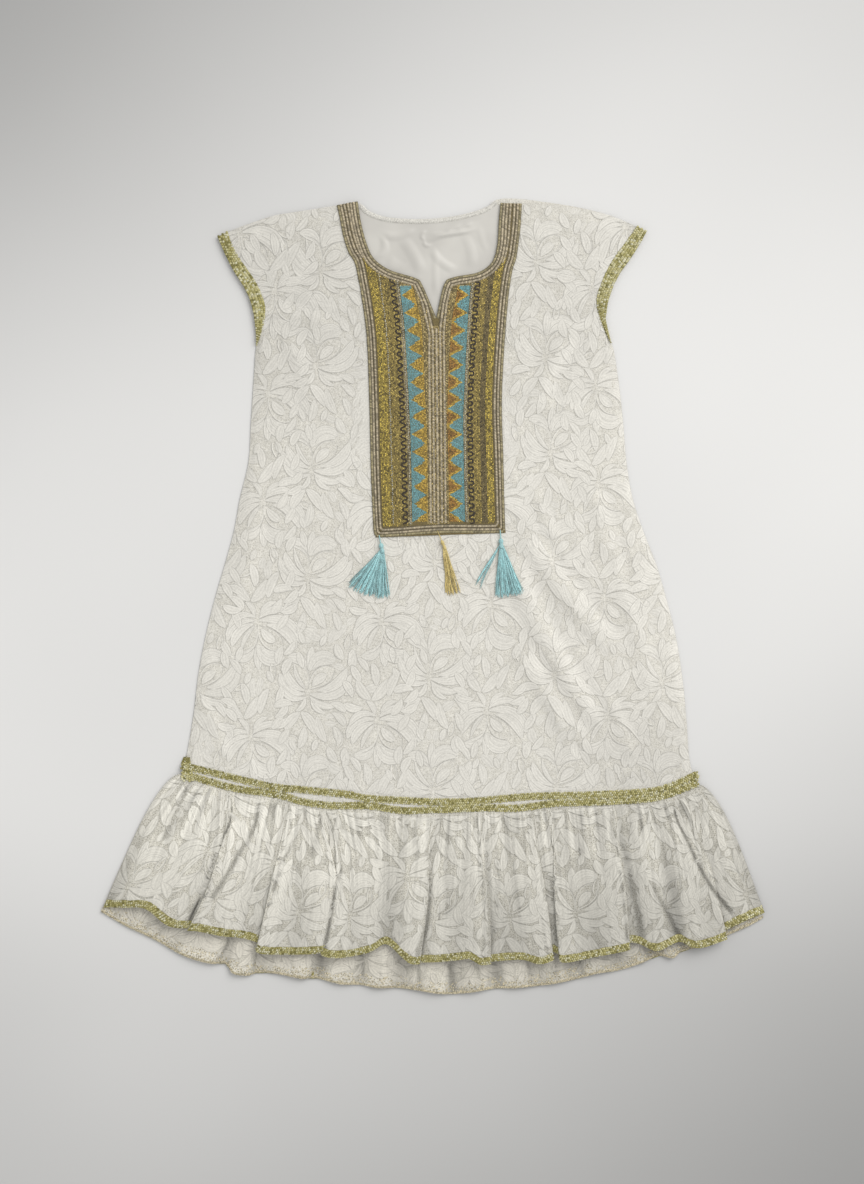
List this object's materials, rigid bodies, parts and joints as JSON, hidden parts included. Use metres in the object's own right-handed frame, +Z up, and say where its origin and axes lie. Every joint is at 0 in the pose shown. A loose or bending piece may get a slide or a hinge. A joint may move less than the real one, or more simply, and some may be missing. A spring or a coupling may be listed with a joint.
{
  "type": "lace dress laid flat",
  "caption": "Short white lace dress with cap sleeves, a dropped waist, a gathered flounce, gold braid and an embroidered bib with tassels, laid flat on its back.",
  "frame": {"origin": "on the surface under the middle of the dress", "axes": "+Y from the hem towards the neck, +Z up off the surface, +X to the right seen from above, which is the wearer's left"},
  "size_m": [0.862, 1.0309, 0.0153],
  "materials": {
    "white_lace": "matt corded lace",
    "white_satin": "soft satin",
    "white_binding": "matt ribbed tape",
    "gold_embroidery": "metallic thread",
    "pale_cord": "twisted cord",
    "turquoise_silk": "silk thread",
    "gold_silk": "silk thread",
    "gold_braid": "metallic woven braid"
  },
  "bodies": {
    "root": {"front_panel": "white_lace", "back_panel": "white_lace", "back_lining": "white_satin", "back_neck_binding": "white_binding", "front_ruffle": "white_lace", "back_ruffle": "white_lace", "bib": "gold_embroidery", "bib_frame_cords": "pale_cord", "neck_cords_left": "pale_cord", "neck_cords_right": "pale_cord", "placket_cord": "pale_cord", "turquoise_band_left": "turquoise_silk", "turquoise_band_right": "turquoise_silk", "gold_band_left": "gold_silk", "gold_band_right": "gold_silk", "cuff_braid_left_front": "gold_braid", "cuff_braid_left_back": "gold_braid", "cuff_braid_right_front": "gold_braid", "cuff_braid_right_back": "gold_braid", "waist_braid_upper_front": "gold_braid", "waist_braid_upper_back": "gold_braid", "waist_braid_lower_front": "gold_braid", "waist_braid_lower_back": "gold_braid", "hem_braid_front": "gold_braid", "hem_braid_back": "gold_braid", "tassel_left": "turquoise_silk", "tassel_centre": "gold_silk", "tassel_right": "turquoise_silk"}
  },
  "joints": []
}
